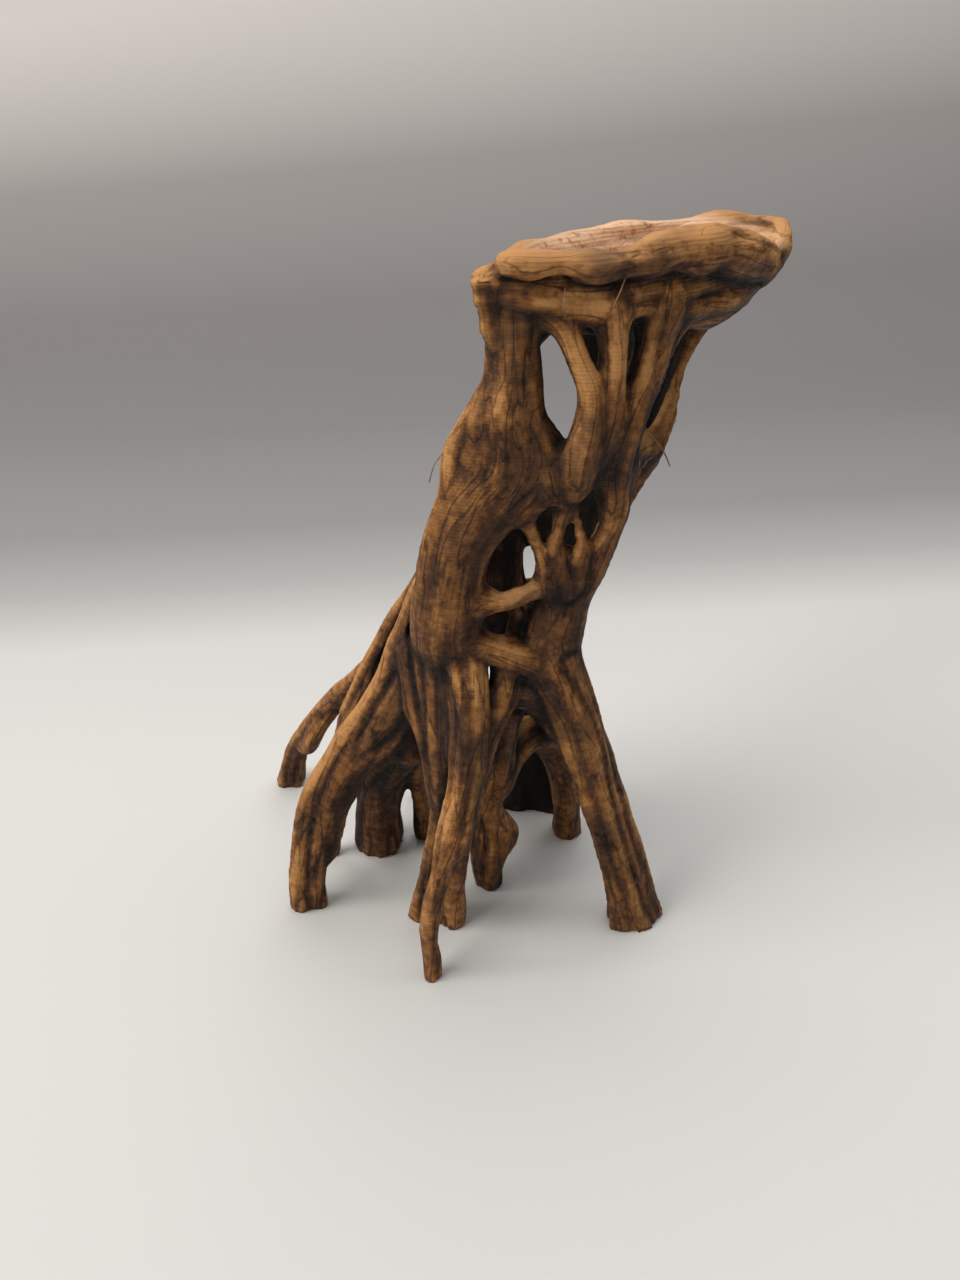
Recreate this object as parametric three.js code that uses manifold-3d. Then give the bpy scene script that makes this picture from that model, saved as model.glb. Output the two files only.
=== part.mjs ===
// A small dry mangrove root: a leaning, hollow trunk of fused rootlets that carries a shallow trough on top
// and stands on a ring of flared feet. It is one piece, made as rootlets joined to each other.
//
// Frame: millimetres, +Z up, origin on the resting plane under the middle of the root's box.
// +X runs along the lean, to the side the trough points to, and -Y is the side with the long thin leg.

import * as THREE from "three";
import { mergeVertices } from "three/addons/utils/BufferGeometryUtils.js";
import Module from "manifold-3d";

const wasm = await Module();
wasm.setup();

// Driving dimensions.
const THICK_RADIUS = 2.2; // a rootlet that gets thicker than this has the rounder section
const THICK_SIDES = 8;
const THIN_SIDES = 6;
const SECTION_STEP = 6; // length of rootlet between two sections
const FLOOR_DEPTH = 10; // what is cut away under the feet

// The trough on top, an oval hull lying along the lean, with an oval hollow in it.
// Each profile runs from the axis out and back, as [share of the half length and half width, height].
const TROUGH = {
  centre: new THREE.Vector3(20.5, -7, 0),
  turn: THREE.MathUtils.degToRad(32),
  halfLength: 20,
  halfWidth: 8,
  sides: 28,
  hull: [[0, 89.5], [0.58, 89.5], [0.78, 93], [1, 98], [0, 98]],
  hollow: [[0, 95.4], [0.7, 95.6], [0.86, 97.6], [0.92, 106], [0, 106]],
};

// Each rootlet is a list of stations [x, y, z, radius] along its middle.
// A fifth number is the radius front to back, where the rootlet is flattened.

const TROUGH_EDGE = {
  front_lip: [
    [0.4, -24.8, 99.5, 0.7], [2.2, -25.2, 99.8, 1.2], [4.6, -25.4, 99.7, 1.5], [7.5, -25, 99.9, 1.3],
    [11, -23.7, 99.5, 1.9], [14.2, -22, 99.6, 1.7], [17.5, -19.6, 99.8, 2.4], [20.4, -17.4, 100, 2],
    [23.4, -15, 99.6, 2.8], [26.4, -12.6, 99.3, 2.6], [29, -10.4, 98.4, 3.2], [31.8, -6.5, 97.2, 2.9],
    [33.5, -3, 95.6, 1.8],
  ],
  front_belly: [
    [0.8, -23.1, 96.6, 2.1, 1.6], [7.5, -22, 95.7, 2.9, 2.4], [12.5, -20, 95.2, 3.2, 2.7],
    [18, -16.2, 94.6, 3.6, 2.9], [23.5, -11.8, 94, 3.8, 2.9], [28, -7.8, 93, 3.4, 2.7],
    [30.6, -4.2, 92.6, 2.4, 2.1],
  ],
  back_rim: [
    [2.5, -18, 98.2, 1.4], [3.4, -12.5, 98.4, 1.4], [8, -6.8, 98.5, 1.4], [16, -0.6, 98.8, 1.4],
    [25.5, 4.5, 98.9, 1.4], [31.5, 7, 99, 1.4], [36, 7.5, 98.7, 1.4], [37.7, 4.5, 97.9, 1.4],
    [36.5, 0.5, 96.4, 1.4], [33.5, -3.5, 95.8, 1.6],
  ],
  end_fill: [[30.5, 4, 95.4, 2.2], [34.4, 5.8, 95.8, 2.5], [36.7, 3.8, 95.2, 2.1]],
  end_keel: [[36, 4.5, 96.5, 1.7], [33, 1.5, 93.5, 2.1], [28.5, -2, 91, 2.6]],
  cut_end: [[-0.9, -24, 98.6, 1.8], [-0.5, -23.5, 96, 1.6], [0.4, -22.5, 91, 1.4]],
};

const TRUNK_FRONT = {
  slab: [
    [2.6, -22.3, 97, 3.2, 2.1], [2.8, -21.5, 91, 3.1, 2.6], [2.8, -21, 86.5, 3.5, 2.8],
    [2.3, -21, 82, 5.1, 2.9], [2.6, -20.5, 78, 6.6, 3], [1.8, -20.4, 74.4, 6.7, 3],
    [-0.9, -20.3, 70.8, 5.3, 3], [-3.2, -20, 66.5, 4.3, 3], [-4.4, -19.5, 61.5, 4.3, 3.2],
    [-5.4, -18.8, 56, 4.8, 3.3], [-5.7, -17.6, 51, 4.6, 3.3], [-5, -17, 48.5, 3.2, 2.1],
  ],
  slab_edge: [
    [0.3, -21.6, 89, 0.9], [-0.3, -21, 85, 1], [-2.4, -20.5, 80.5, 1.2], [-4.2, -20, 76.5, 1.5],
    [-4.6, -20, 71.5, 1.6], [-6.6, -19, 64, 1.6], [-7.6, -18, 57.5, 1.8], [-8.2, -16.5, 51.5, 1.8],
  ],
  column_left: [
    [5.5, -22, 95, 2.1], [8, -22.4, 92.6, 1.8], [9.8, -22.5, 89, 1.5], [11.2, -22.5, 85.5, 1.5],
    [11.2, -22.4, 82, 1.7], [10.8, -22.2, 78.8, 2], [10.4, -21.8, 75.8, 1.9], [10.2, -21.2, 73.6, 1.5],
  ],
  column_mid: [
    [13.2, -20.2, 95, 2.7], [13.8, -20.5, 91, 2], [14, -20.8, 86.5, 1.9], [13.6, -20.8, 82.5, 2],
    [12.9, -20.5, 79, 2], [12.2, -20, 76, 1.7], [11.8, -19.6, 74, 1.3],
  ],
  column_right: [
    [19.2, -16, 94, 3.4], [18.8, -16.8, 90, 2.8], [17.8, -17.8, 85.5, 2.4], [16.4, -18.8, 81.5, 2.2],
    [15, -19, 77, 2.6], [15, -18.5, 73, 2.7], [15.5, -18, 69.5, 2.1], [15.1, -17.8, 66.5, 1.8],
    [13.4, -17.2, 62, 2], [11.2, -16.5, 57, 2.2], [9.6, -15.5, 51, 2.6],
  ],
  column_thin: [
    [22, -13.8, 92, 1.7], [20.6, -15, 88, 1.1], [18.9, -16.5, 83.5, 1], [17.4, -17.4, 79, 1],
    [16.8, -17, 75, 1.4],
  ],
  slit_posts: [
    [9.6, -20.5, 74.2, 1.6], [8.9, -20, 70, 1], [8.4, -19.3, 66, 1], [8.6, -18.5, 62, 1.8],
    [9, -18, 59, 2.1],
  ],
  slit_stay: [
    [10.5, -19.6, 73.4, 1.1], [10.3, -19.6, 70.5, 0.7], [11, -19.4, 67.8, 0.7], [11.6, -19, 64.5, 1.1],
    [11.2, -18, 60, 1.7],
  ],
  window_stay: [
    [2.6, -20.6, 71.6, 1.4], [4, -20.1, 69.6, 1.1], [5.3, -19.8, 66.8, 0.9], [6.7, -19.4, 63.3, 0.9],
    [7.9, -19, 59.5, 1.3],
  ],
  slab_bridge: [
    [5.2, -20.6, 78, 2.4, 1.7], [6.2, -20.8, 75.4, 3.8, 2], [6.8, -20.7, 73.2, 3.6, 1.8],
    [7.2, -20.3, 71.9, 2.6, 1.4],
  ],
  waist: [
    [9.2, -17.5, 62, 2.4, 1.9], [9, -16.5, 56, 3.4, 2.6], [7.8, -15.5, 49.5, 4.2, 2.8],
    [8, -15, 43.5, 4.2, 2.8], [9.5, -14.5, 38, 3.3, 2.6],
  ],
  sill: [
    [-4.5, -18, 50.8, 2.6], [-1.2, -18.4, 50.8, 2], [1.8, -18, 49.6, 2], [4.6, -17, 48.2, 2.1],
    [7.2, -15.8, 46.8, 2.1], [9.6, -14.6, 45.4, 1.9],
  ],
  window_web: [
    [-3, -19, 57, 2.6], [-0.5, -19.4, 57.6, 2], [1.8, -19.6, 57.5, 1.3], [4.6, -19.4, 58.4, 1],
    [7.6, -19, 60, 1],
  ],
  window_drip: [[3.2, -18.6, 57.8, 1], [3.5, -16.5, 56.5, 1], [3.3, -15, 50.5, 0.9]],
  side_web: [[20, -10, 74.5, 1.6], [18, -12.5, 74.2, 2.1], [16, -16, 73, 2.4], [15.5, -17, 69.5, 1.6]],
  side_column: [
    [27, -5, 91.5, 1.9], [24.8, -6, 85.5, 1], [23.4, -7, 81, 1], [22.4, -8, 77.5, 1.3],
    [20.4, -9, 73.5, 1.7], [18.2, -10, 70, 1.8], [16.2, -11, 66.5, 1.8], [14.8, -12, 62.5, 1.8],
    [13.5, -12, 58, 1.7], [11.4, -12, 54, 1.8], [9.6, -12, 47.5, 2.4],
  ],
};

const TRUNK_BACK = {
  back_left: [
    [9.5, -11, 94.5, 2.6], [6.4, -9.6, 90.5, 2.6], [3, -7.6, 85, 2.1], [1, -4, 78, 2.4],
    [0.4, 0.5, 69, 2.6], [1.4, 3.5, 60, 3.4, 2.4], [1.8, 4, 54, 4, 2.4], [1.8, 4.6, 48, 4.7, 2.4],
    [2.6, 5.6, 42.5, 4.5, 2.4], [5, 8, 34, 2.6, 2.1], [6, 11, 26, 3.4, 2.1], [6.6, 15.5, 10, 5.1, 2.4],
    [7, 17.5, -2, 6.1, 2.8],
  ],
  back_mid: [
    [18, -2, 92, 3.2], [17, 3, 82, 2.8], [14.8, 5, 70, 2.8], [13, 6, 60, 2.9], [12, 6, 52, 3, 2.4],
    [11, 7, 42, 2.5], [10.6, 10, 28, 2.1], [11.6, 14.5, 12, 2.1], [12, 17, -2, 2.8],
  ],
  back_web: [
    [15.6, -3.6, 94, 2.4, 2], [14.6, -0.6, 90.5, 2.5, 1.8], [13.4, 1.6, 86.5, 2.4, 1.6],
    [13.6, 3.6, 80.5, 2.2, 1.6], [14.2, 4.8, 74, 2.1, 1.7],
  ],
  back_right: [
    [26, 2, 92, 3.4, 2.6], [22.8, 4, 83, 4, 2.1], [20.3, 5.5, 72, 3.8, 2.1], [17, 6, 61, 3.2, 2.1],
    [14, 5.5, 50, 2.8, 2.1], [11, 4.5, 41, 2.6], [9.5, 3.5, 31, 2.4], [9.8, 2.5, 24, 2.1],
  ],
  back_corner: [
    [0, 0, 69, 1.9], [-5, 1, 58, 2.1], [-9, 1, 48.5, 2.4], [-11.5, 1, 39, 2.8], [-12.5, -1, 30, 3.2],
  ],
  rib_high: [[1, -4, 79, 1.8], [-0.5, -11, 81, 1.8], [0.5, -18, 81, 2]],
  rib_upper_back: [[2, 3.4, 60, 3.2, 1.8], [7.5, 5.5, 57.8, 4.1, 1.9], [13, 6, 60, 3.2, 1.9]],
  rib_lower_back: [[3.4, 5.4, 45, 2.8, 1.8], [8, 6.5, 45.6, 3.3, 1.8], [12, 6.5, 46, 2.6, 1.9]],
  rib_side: [[19.5, -9, 72.5, 1.6], [21.5, -1, 72, 1.6], [20.5, 5, 71, 1.8]],
  rib_side_low: [[9.5, -12, 50, 1.8], [11.5, -3, 48.5, 1.8], [13, 5, 49.5, 2]],
  rib_left: [[-5.5, -17, 60, 2], [-5.5, -8, 57, 2.1], [-5, 1, 58, 2]],
};

const LEGS_FRONT = {
  thin_leg: [
    [-3.3, -18, 50, 2.8], [-2.5, -20, 43.5, 2.6], [-2.9, -21, 34.5, 2.4], [-4.2, -23, 26, 2.2],
    [-6.4, -24, 18.5, 1.9], [-8, -25, 10.5, 1.5], [-7.9, -25, 3, 1.5], [-7.9, -25.1, -2, 1.7],
  ],
  thin_leg_fork: [
    [2.5, -17, 49, 1.9], [1.9, -17.6, 42, 2.1], [0.2, -18.8, 36.5, 1.8], [-1.3, -19, 32.5, 1.8],
    [-2.8, -19, 25, 1.7], [-3.9, -17.5, 17, 1.9], [-5, -14.5, 7, 1.9], [-5.3, -12.7, -2, 2.6],
  ],
  fork_stub: [[-1.6, -18.5, 33, 1.5], [-1.5, -15, 25, 1.3], [-1.9, -12.5, 15, 0.9]],
  mid_leg: [
    [-7.8, -16, 50, 2.5], [-7.2, -16.3, 41, 2.4], [-6.8, -16.5, 31, 1.9], [-7, -15, 20, 1.6],
    [-8.7, -13, 9.5, 1.6], [-10.3, -11.3, -2, 2.4],
  ],
  mid_leg_ridge: [
    [-10.4, -14, 48, 1.5], [-9.8, -15, 40, 1.4], [-8.2, -16, 32.5, 1.3], [-6.9, -16, 24.5, 1.2],
  ],
  leg_web: [[-5, -17.5, 47, 1.6], [-5, -18, 40, 1.3], [-5.2, -18, 33, 1.2], [-5.6, -17.5, 27, 1]],
  right_leg: [
    [8.8, -15.5, 47, 3.4], [11.6, -15, 40, 3.2], [13.8, -14.5, 33.5, 3], [16.2, -13.5, 24.5, 2.9],
    [18.9, -12.6, 15, 2.8], [21.2, -12.2, 7, 3.2], [22.6, -12, -2, 4.2],
  ],
  right_leg_ridge: [
    [10.8, -13.5, 43.5, 2], [14.8, -13, 34, 1.8], [18, -12.4, 24, 1.6], [21, -12, 15, 1.5],
    [23.5, -11.6, 7.5, 1.5], [26, -11.3, -2, 2.2],
  ],
  right_leg_rib: [
    [7.6, -17.4, 45, 1.3], [10.2, -17.1, 38, 1.3], [12.6, -16.2, 30, 1.2], [15.2, -15.2, 20, 1.1],
    [17.6, -14.4, 11, 1.2], [19.8, -14.4, 3, 1.6], [20.2, -14.6, -2, 2],
  ],
};

const LEGS_LEFT = {
  left_leg_outer: [
    [-7.6, -14.5, 58, 1.9], [-9.6, -13.5, 53.5, 1.8], [-12.2, -12.2, 46.8, 1.6], [-16.3, -11, 38, 1.4],
    [-22, -10, 28.6, 1.5], [-26.6, -10, 18.4, 1.6], [-28.7, -10, 7.2, 1.6], [-29, -10, -2, 2],
  ],
  left_leg_middle: [
    [-9, -13, 49, 2.6], [-12, -12, 40, 2.6], [-17, -11, 31.5, 2.1], [-22.8, -9.9, 21.5, 1.8],
    [-25.6, -9.6, 9, 1.7], [-26.5, -9.2, -2, 2.4],
  ],
  left_leg_inner: [
    [-10, -12, 38, 2.8], [-13, -11, 32, 2.4], [-17.5, -9.5, 27, 1.9], [-21.6, -8.5, 19, 1.6],
    [-24.5, -7.5, 8, 1.5],
  ],
  shoulder: [[-7, -8, 50, 2.8], [-9.5, -8, 42, 3.2], [-11, -7, 34, 3.6], [-11.2, -5, 27, 3.6]],
  left_strut: [
    [-7, -11, 60, 1.4], [-10, -9, 54.5, 1.2], [-12.8, -8, 49, 1.4], [-16.4, -7, 41.3, 1.7],
    [-19.4, -6.5, 33.5, 1.9], [-21.8, -8, 26.5, 1.8],
  ],
  stump_leg: [[-11.4, -4, 28, 3.8], [-15.6, 0, 20.6, 4.2], [-17.4, 4, 10.2, 3.9], [-17.9, 6.4, -2, 4.7]],
  stump_toe: [[-20.8, -8, 21.5, 1.8], [-22.8, -1.5, 14, 1.4], [-24.6, 2.8, 5, 1.2], [-25, 3.6, -2, 1.4]],
  far_leg: [
    [-12.5, 1, 38, 2.4], [-18.4, 6, 33, 1.7], [-22.8, 12, 26.2, 1.7], [-28.4, 18, 17.1, 1.8],
    [-33, 22, 8.4, 2.2], [-35.4, 24.6, -2, 3],
  ],
  far_leg_loop: [
    [-25.2, 14.8, 21.4, 1.4], [-28.2, 15.2, 16.6, 1.5], [-30.2, 17, 12, 1.4], [-32, 20.5, 10.5, 1.5],
  ],
};

const LEGS_BACK = {
  arch_shelf: [
    [1.4, -15, 43.4, 2.1], [4.5, -14.8, 42.4, 3.2, 3.2], [8, -14, 40, 3.4, 3.4], [10.5, -12, 36, 3.2, 3.2],
  ],
  arch_leg: [
    [3, -11.5, 38, 2.6], [2.2, -8, 27.7, 2.2], [0.4, -6, 18, 2.4], [0.5, -5, 11, 3.3], [0.3, -4.6, 5, 3],
    [0.8, -4.3, -2, 2.1],
  ],
  arch_spur: [[0.8, -5, 13, 1.6], [3.2, -4, 10.5, 1.6], [3.4, -4, 7.5, 1.3]],
  arch_span: [
    [1.6, -6.8, 21, 2.1], [3.4, -4.6, 25, 2.8], [6.4, -3, 27.4, 3], [10.2, 1, 22.8, 2.9],
    [12.8, 6.4, 11.6, 2.6], [13.6, 10.2, -2, 3.1],
  ],
  arch_crown: [[10.2, -7.5, 33, 3], [10.5, -2, 29, 2.8], [10.2, 2.5, 24, 2.4]],
  back_left_leg: [
    [-10, 2, 40, 2.4], [-10.8, 5, 28, 2], [-11.4, 11, 17, 1.6], [-11.3, 17, 8, 1.5],
    [-11.2, 21.5, -2, 1.9],
  ],
  small_leg: [[-10.8, -3, 30, 2], [-11.3, 0, 20.6, 1.5], [-10.8, 5, 9.5, 1.4], [-10.3, 8.6, -2, 1.8]],
};

// A solid from one closed geometry: only the positions are kept, so that shared vertices can be merged.
function solidOf(geometry) {
  const bare = geometry.clone();
  bare.deleteAttribute("normal");
  bare.deleteAttribute("uv");
  const merged = mergeVertices(bare, 1e-4);
  return new wasm.Manifold(
    new wasm.Mesh({
      numProp: 3,
      vertProperties: merged.attributes.position.array,
      triVerts: new Uint32Array(merged.index.array),
    }),
  );
}

// The geometry of a finished solid.
function geometryOf(solid) {
  const mesh = solid.getMesh();
  return new THREE.BufferGeometry()
    .setAttribute("position", new THREE.BufferAttribute(mesh.vertProperties, 3))
    .setIndex(new THREE.BufferAttribute(mesh.triVerts, 1));
}

// One rootlet: a cylinder bent along its stations, and swollen to the radii that each of them gives.
function rootlet(stations) {
  const middle = new THREE.CatmullRomCurve3(stations.map(([x, y, z]) => new THREE.Vector3(x, y, z)));
  const girth = new THREE.SplineCurve(
    stations.map(([, , , radius, depth = radius]) => new THREE.Vector2(radius, depth)),
  );
  const steps = Math.max(2, Math.round(middle.getLength() / SECTION_STEP));
  const sides = Math.max(...stations.map((station) => station[3])) > THICK_RADIUS ? THICK_SIDES : THIN_SIDES;
  const { normals, binormals } = middle.computeFrenetFrames(steps);
  const tube = new THREE.CylinderGeometry(1, 1, steps, sides, steps);
  const place = tube.attributes.position;
  for (let i = 0; i < place.count; i++) {
    const ring = Math.round(steps / 2 + place.getY(i));
    const { x: radius, y: depth } = girth.getPoint(middle.getUtoTmapping(ring / steps));
    const offset = new THREE.Vector3()
      .addScaledVector(normals[ring], place.getX(i))
      .addScaledVector(binormals[ring], -place.getZ(i))
      .multiply(new THREE.Vector3(radius, depth, radius));
    const point = middle.getPointAt(ring / steps).add(offset);
    place.setXYZ(i, point.x, point.y, point.z);
  }
  return tube;
}

// A closed body with an oval plan, from one of the trough's profiles.
function oval(profile) {
  return new THREE.LatheGeometry(profile.map(([share, z]) => new THREE.Vector2(share, z)), TROUGH.sides)
    .rotateX(Math.PI / 2)
    .scale(TROUGH.halfLength, TROUGH.halfWidth, 1)
    .rotateZ(TROUGH.turn)
    .translate(TROUGH.centre.x, TROUGH.centre.y, 0);
}

// Everything below the resting plane, so that the feet end flat on it.
function ground() {
  return new THREE.BoxGeometry(200, 200, FLOOR_DEPTH).translate(0, 0, -FLOOR_DEPTH / 2);
}

function joined(groups) {
  return groups
    .flatMap((group) => Object.values(group))
    .map((stations) => solidOf(rootlet(stations)))
    .reduce((whole, piece) => whole.add(piece));
}

const solid = joined([TROUGH_EDGE, TRUNK_FRONT, TRUNK_BACK, LEGS_FRONT, LEGS_LEFT, LEGS_BACK])
  .add(solidOf(oval(TROUGH.hull)))
  .subtract(solidOf(oval(TROUGH.hollow)))
  .subtract(solidOf(ground()));

const geometry = geometryOf(solid);
geometry.computeBoundingBox();
const middle = geometry.boundingBox.getCenter(new THREE.Vector3());
geometry.translate(-middle.x, -middle.y, 0);

const wood = new THREE.MeshStandardMaterial({ color: "#7d5636", roughness: 0.72, metalness: 0 });
const root = new THREE.Mesh(geometry, wood);
root.name = "root";

const dryRoot = new THREE.Group();
dryRoot.add(root);

export default dryRoot;
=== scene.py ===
"""A dry mangrove root: a leaning, hollow trunk of fused rootlets with a shallow trough on top.

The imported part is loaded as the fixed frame. The root is then made again as one skin: every rootlet is
a bent tube, the tubes are fused, the creases between them are filled as grown wood fills them, and the
skin is fluted along each rootlet. Sizes are in millimetres in the classes and in metres in Blender.
"""

import logging  # noqa: E402
import math  # noqa: E402
from dataclasses import dataclass, field, fields  # noqa: E402
from enum import Enum  # noqa: E402
from typing import Callable  # noqa: E402

import bmesh  # noqa: E402
import bpy  # noqa: E402
import numpy as np  # noqa: E402
from mathutils import Matrix, Vector, noise  # noqa: E402
from mathutils.bvhtree import BVHTree  # noqa: E402

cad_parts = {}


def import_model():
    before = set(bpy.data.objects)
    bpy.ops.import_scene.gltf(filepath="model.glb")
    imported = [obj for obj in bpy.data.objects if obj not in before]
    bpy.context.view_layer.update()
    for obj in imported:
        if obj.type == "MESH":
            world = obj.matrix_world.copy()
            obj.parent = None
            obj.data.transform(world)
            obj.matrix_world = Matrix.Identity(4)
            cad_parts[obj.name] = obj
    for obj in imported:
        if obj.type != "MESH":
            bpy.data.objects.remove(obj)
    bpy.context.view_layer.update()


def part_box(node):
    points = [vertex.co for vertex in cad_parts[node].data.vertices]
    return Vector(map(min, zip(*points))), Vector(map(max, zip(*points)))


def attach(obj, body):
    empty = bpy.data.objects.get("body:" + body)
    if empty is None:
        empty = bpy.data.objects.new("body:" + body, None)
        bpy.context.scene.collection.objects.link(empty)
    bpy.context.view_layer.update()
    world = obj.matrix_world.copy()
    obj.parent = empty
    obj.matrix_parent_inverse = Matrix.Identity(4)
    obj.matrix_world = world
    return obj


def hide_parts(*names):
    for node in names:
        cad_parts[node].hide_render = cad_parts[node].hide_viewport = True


log = logging.getLogger("dry_root")

MM = 0.001
NODE = "root"
BODY = "root"
# The rootlets are placed from the middle of the ring of feet, which lies this far from the middle of the box.
BOX_MIDDLE = Vector((0.132, 0.215, 0.0))

Stations = tuple[tuple[float, ...], ...]
Relief = Callable[[np.ndarray], np.ndarray]
Found = dict[str, np.ndarray]
Cause = tuple[str, float, float, float, float]
Overlay = tuple[str, str, float, float, float]


class Region(Enum):
    """What a rootlet belongs to, which decides how deeply it is fluted, how it is stained, and whether it
    takes the painted shade of the inside.
    """

    TROUGH = "trough"
    TRUNK = "trunk"
    INSIDE = "inside"
    FOOT = "foot"


@dataclass(frozen=True)
class Rootlet:
    """One rootlet.

    Attributes:
        stations: Points along its middle as (x, y, z, radius) in mm. A fifth number is the radius from
            front to back, where that differs.
        flute: Depth of its grooves against the usual depth.
    """

    stations: Stations
    flute: float = 1.0


@dataclass(frozen=True)
class RootletGroup:
    """A sub-assembly made of rootlets only. Its fields hold the rootlets."""

    def rootlets(self) -> list[Rootlet]:
        """List the group's rootlets in the order of its fields."""
        values = [getattr(self, item.name) for item in fields(self)]
        return [value for value in values if isinstance(value, Rootlet)]


@dataclass(frozen=True)
class Trough(RootletGroup):
    """The shallow trough on top: an oval hull with a hollow, a rolled lip in front and a thin rim."""

    region: Region = Region.TROUGH
    centre: tuple[float, float] = (20.5, -7.0)
    turn: float = math.radians(32)
    half_length: float = 20.0
    half_width: float = 8.0
    hull: Stations = ((0, 89.5), (0.58, 89.5), (0.78, 93), (1, 98), (0, 98))
    hollow: Stations = ((0, 95.4), (0.7, 95.6), (0.86, 97.6), (0.92, 106), (0, 106))

    front_lip: Rootlet = Rootlet((
        (0.4, -24.8, 99.5, 0.6), (2.2, -25.2, 99.8, 1.1), (4.6, -25.4, 99.7, 1.4), (7.5, -25, 99.9, 1.2),
        (11, -23.7, 99.5, 1.75), (14.2, -22, 99.6, 1.6), (17.5, -19.6, 99.8, 2.2),
        (20.4, -17.4, 100, 1.9), (23.4, -15, 99.6, 2.6), (26.4, -12.6, 99.3, 2.4), (29, -10.4, 98.4, 3),
        (31.8, -6.5, 97.2, 2.7), (33.5, -3, 95.6, 1.7)), 0.5)
    front_belly: Rootlet = Rootlet((
        (0.8, -23.1, 96.6, 2, 1.5), (7.5, -22, 95.7, 2.7, 2.2), (12.5, -20, 95.2, 3, 2.5),
        (18, -16.2, 94.6, 3.4, 2.7), (23.5, -11.8, 94, 3.6, 2.7), (28, -7.8, 93, 3.2, 2.5),
        (30.6, -4.2, 92.6, 2.2, 2)), 0.6)
    back_rim: Rootlet = Rootlet((
        (2.5, -18, 98.2, 1.3), (3.4, -12.5, 98.4, 1.3), (8, -6.8, 98.5, 1.3), (16, -0.6, 98.8, 1.3),
        (25.5, 4.5, 98.9, 1.3), (31.5, 7, 99, 1.3), (36, 7.5, 98.7, 1.3), (37.7, 4.5, 97.9, 1.3),
        (36.5, 0.5, 96.4, 1.3), (33.5, -3.5, 95.8, 1.5)), 0.6)
    end_fill: Rootlet = Rootlet(((30.5, 4, 95.4, 2.1), (34.4, 5.8, 95.8, 2.3), (36.7, 3.8, 95.2, 2)))
    end_keel: Rootlet = Rootlet(((36, 4.5, 96.5, 1.6), (33, 1.5, 93.5, 2.0), (28.5, -2, 91, 2.4)))
    cut_end: Rootlet = Rootlet(((-0.9, -24, 98.6, 1.7), (-0.5, -23.5, 96, 1.5), (0.4, -22.5, 91, 1.3)))

    def local(self, points: np.ndarray) -> tuple[np.ndarray, np.ndarray]:
        """Turn points into the oval's own terms.

        Args:
            points: Points in mm, one a row.

        Returns:
            The share of the oval that each point lies at, and the oval's radius in that direction in mm.
        """
        c, s = math.cos(self.turn), math.sin(self.turn)
        dx, dy = points[:, 0] - self.centre[0], points[:, 1] - self.centre[1]
        along, across = dx * c + dy * s, -dx * s + dy * c
        share = np.hypot(along / self.half_length, across / self.half_width) + 1e-6
        slope = np.hypot(along / self.half_length**2, across / self.half_width**2) / share + 1e-6
        return share, 1 / slope

    def distance(self, points: np.ndarray, profile: Stations) -> np.ndarray:
        """Measure how far points are from the oval body of a profile.

        Args:
            points: Points in mm, one a row.
            profile: Closed outline as (share, height) in mm.

        Returns:
            The distance in mm, negative inside.
        """
        share, radius = self.local(points)
        x, z = share * radius, points[:, 2]
        nearest, inside = np.full(len(x), 1e9), np.zeros(len(x), bool)
        for (s0, z0), (s1, z1) in zip(profile, profile[1:] + profile[:1]):
            x0, x1 = s0 * radius, s1 * radius
            ex, ez = x1 - x0, z1 - z0
            if s0 > 0 or s1 > 0:
                t = np.clip(((x - x0) * ex + (z - z0) * ez) / (ex * ex + ez * ez + 1e-9), 0, 1)
                nearest = np.minimum(nearest, np.hypot(x - x0 - t * ex, z - z0 - t * ez))
            if z0 != z1:
                crosses = (z0 > z) != (z1 > z)
                inside ^= crosses & (x < x0 + (z - z0) / ez * ex)
        return np.where(inside, -nearest, nearest)


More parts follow.
